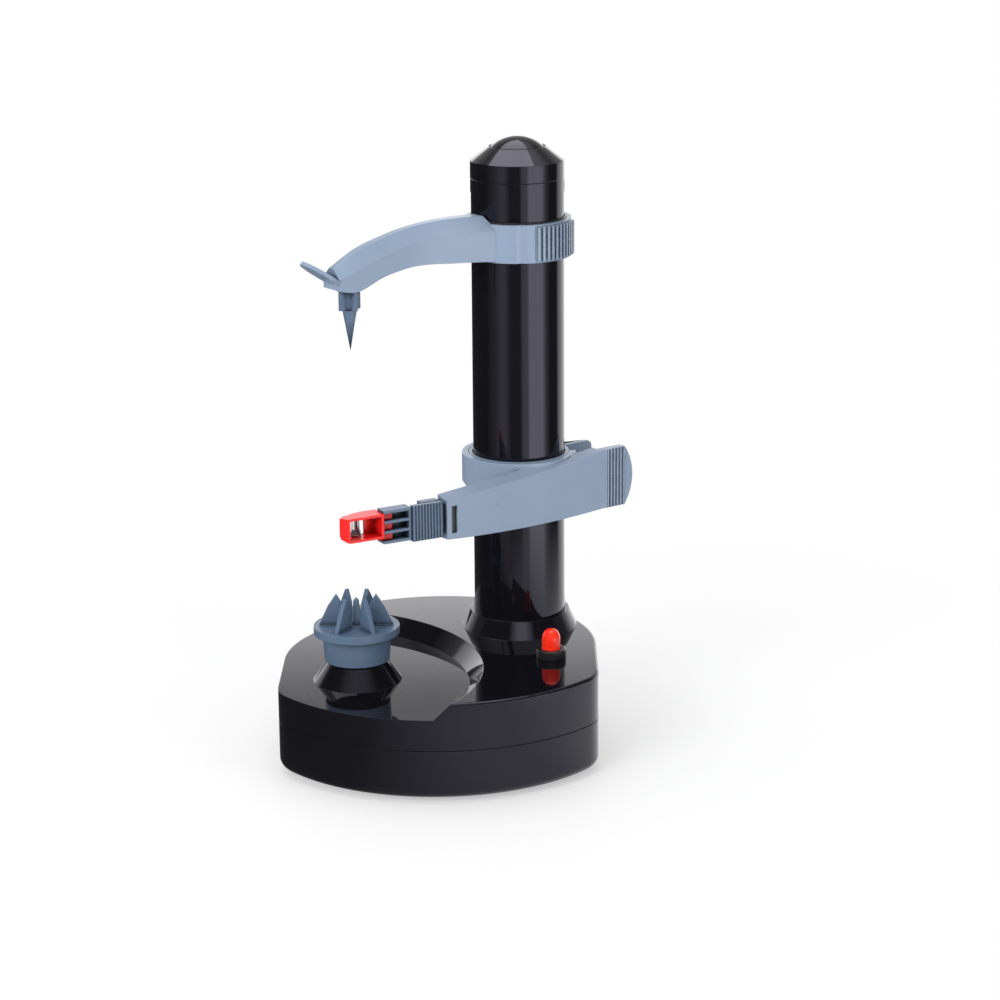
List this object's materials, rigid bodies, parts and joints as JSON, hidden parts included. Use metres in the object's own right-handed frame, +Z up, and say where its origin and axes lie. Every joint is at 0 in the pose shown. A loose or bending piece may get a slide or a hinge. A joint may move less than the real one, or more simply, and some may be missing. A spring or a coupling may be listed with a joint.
{
  "type": "electric fruit peeler",
  "caption": "Battery fruit peeler: a driven pronged holder on a tray base, a column with a finned top spike, and a sprung peel arm lowered by a lead screw.",
  "frame": {"origin": "centre of the bounding box's underside, on the surface the feet stand on", "axes": "+Z up along the column, +X to the right and -Y to the front as in the picture"},
  "size_m": [0.1696, 0.1634, 0.29],
  "materials": {
    "gloss_black": "polished black ABS",
    "bezel_black": "satin black",
    "blue_grey": "satin blue-grey ABS",
    "dark_blue_grey": "satin dark blue-grey",
    "red_guard": "slightly translucent red",
    "orange_button": "glossy orange-red",
    "blade_steel": "polished stainless",
    "plain_steel": "plain",
    "bush_brass": "sintered",
    "gear_nylon": "natural nylon",
    "foot_rubber": "dull",
    "cell_wrap": "plain printed wrap without lettering",
    "inner_black": "satin"
  },
  "bodies": {
    "base": {"base_lower_shell": "gloss_black", "base_upper_shell": "gloss_black", "rubber_feet": "foot_rubber", "base_screws": "plain_steel", "battery_door": "gloss_black", "battery_cells": "cell_wrap", "battery_contacts": "plain_steel", "gear_plate": "plain_steel", "gear_plate_screws": "plain_steel", "gear_axles": "plain_steel", "motor": "plain_steel", "spindle_bush": "bush_brass", "screw_bushes": "bush_brass", "column_tube": "gloss_black", "column_cap": "gloss_black", "cap_plug": "gloss_black", "switch_bezel": "bezel_black", "switch_body": "inner_black", "switch_spring": "plain_steel", "adapter_inlet": "inner_black"},
    "turntable": {"food_holder": "dark_blue_grey", "drive_spindle": "plain_steel", "spindle_gear": "gear_nylon"},
    "screw": {"lead_screw": "plain_steel", "screw_gear": "gear_nylon"},
    "idler": {"idler_gear": "gear_nylon"},
    "reduction": {"reduction_gear": "gear_nylon"},
    "pinion": {"motor_pinion": "gear_nylon", "motor_shaft": "plain_steel"},
    "carriage": {"carriage_sleeve": "blue_grey", "half_nut": "gear_nylon", "swing_spring": "plain_steel"},
    "peel_arm": {"peel_arm": "blue_grey"},
    "cartridge": {"blade_grip": "dark_blue_grey", "blade_carrier": "dark_blue_grey", "blade_guard": "red_guard", "blade_pins": "blade_steel"},
    "blade": {"peel_blade": "blade_steel"},
    "upper_arm": {"upper_arm": "blue_grey", "ring_liner": "bezel_black"},
    "spike": {"top_spike": "dark_blue_grey"},
    "button": {"switch_button": "orange_button"}
  },
  "joints": [
    {"name": "food_spin", "type": "hinge", "parent": "base", "child": "turntable", "pos_m": [-0.04788, -0.02303, 0.06], "axis": [0, 0, 1], "range_deg": [-1908, 6264]},
    {"name": "screw_spin", "type": "hinge", "parent": "base", "child": "screw", "pos_m": [0.02928, 0.03553, 0.06], "axis": [0, 0, 1], "continuous": true},
    {"name": "idler_spin", "type": "hinge", "parent": "base", "child": "idler", "pos_m": [-0.00208, 0.01173, 0.032], "axis": [0, 0, 1], "continuous": true},
    {"name": "reduction_spin", "type": "hinge", "parent": "base", "child": "reduction", "pos_m": [0.01908, -0.01615, 0.034], "axis": [0, 0, 1], "continuous": true},
    {"name": "motor_spin", "type": "hinge", "parent": "base", "child": "pinion", "pos_m": [0.03368, -0.02668, 0.036], "axis": [0, 0, 1], "continuous": true},
    {"name": "carriage_lift", "type": "slide", "parent": "base", "child": "carriage", "axis": [0, 0, 1], "range_m": [-0.027, 0.088]},
    {"name": "arm_swing", "type": "hinge", "parent": "carriage", "child": "peel_arm", "pos_m": [0.02928, 0.03553, 0.13], "axis": [0, 0, 1], "range_deg": [-5, 22], "stiffness_Nm_per_rad": 0.6},
    {"name": "cartridge_release", "type": "slide", "parent": "peel_arm", "child": "cartridge", "axis": [-0.7965, -0.6046, 0], "range_m": [0, 0.025]},
    {"name": "blade_swivel", "type": "hinge", "parent": "cartridge", "child": "blade", "pos_m": [-0.04627, -0.043, 0.1219], "axis": [0, 0, 1], "range_deg": [-15, 15]},
    {"name": "upper_arm_slide", "type": "slide", "parent": "base", "child": "upper_arm", "axis": [0, 0, 1], "range_m": [-0.09, 0.018]},
    {"name": "spike_spin", "type": "hinge", "parent": "upper_arm", "child": "spike", "pos_m": [-0.04788, -0.02303, 0.225], "axis": [0, 0, 1], "continuous": true},
    {"name": "switch_press", "type": "slide", "parent": "base", "child": "button", "axis": [0, 0, -1], "range_m": [0, 0.0024], "stiffness_N_per_m": 400, "deforming": ["switch_spring"]}
  ],
  "couplings": [
    {"joint": "carriage_lift", "follows": "food_spin", "m_per_rad": 0.00080415},
    {"joint": "screw_spin", "follows": "food_spin", "ratio": 2.5263},
    {"joint": "idler_spin", "follows": "food_spin", "ratio": -1.0909},
    {"joint": "reduction_spin", "follows": "food_spin", "ratio": 4},
    {"joint": "motor_spin", "follows": "food_spin", "ratio": -20}
  ]
}
